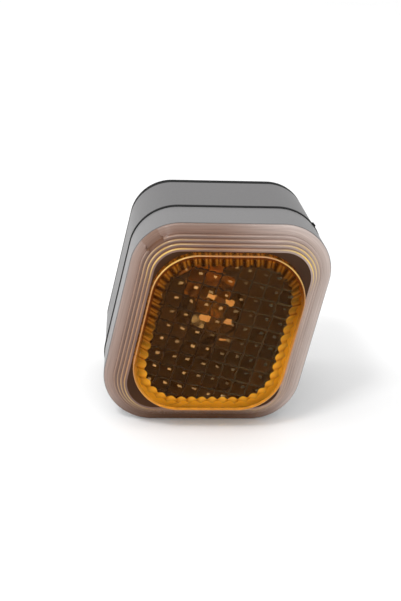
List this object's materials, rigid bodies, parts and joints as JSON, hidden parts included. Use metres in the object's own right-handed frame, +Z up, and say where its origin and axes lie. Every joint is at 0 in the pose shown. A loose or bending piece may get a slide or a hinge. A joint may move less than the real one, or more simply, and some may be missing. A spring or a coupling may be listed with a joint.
{
  "type": "vehicle indicator lamp",
  "caption": "Rounded parallelogram vehicle indicator lamp: ridged amber lens with a raised fluted box, two-piece grey plastic housing, bayonet bulb inside, rear studs and cable inlet.",
  "frame": {"origin": "centre of the rear face of the rubber mounting pad", "axes": "+Y points out of the back towards the vehicle panel, the lens faces -Y, +Z is up, +X is to the right seen from the front"},
  "size_m": [0.0934, 0.0875, 0.0906],
  "materials": {
    "housing": "satin",
    "amber": "gloss",
    "rubber": "matte",
    "insulator": "satin",
    "brass": "satin",
    "steel": "zinc plated",
    "bulb_glass": "gloss",
    "black_steel": "black phosphate"
  },
  "bodies": {
    "root": {"rear_housing": "housing", "front_housing": "housing", "mounting_pad": "rubber", "seam_seal": "rubber", "lens": "amber", "lens_seal": "rubber", "cable_grommet": "rubber", "mounting_studs": "steel", "housing_screws": "black_steel", "holder_plate": "black_steel", "plate_screws": "black_steel", "holder_tube": "brass", "holder_base": "insulator", "contact_leaf": "brass", "contact_rivet": "brass", "feed_terminal": "brass", "earth_terminal": "brass", "bulb_tip": "steel", "bulb_insulator": "insulator", "bulb_cap": "brass", "bulb_glass": "bulb_glass", "bulb_stem": "bulb_glass", "filament": "steel"}
  },
  "joints": []
}
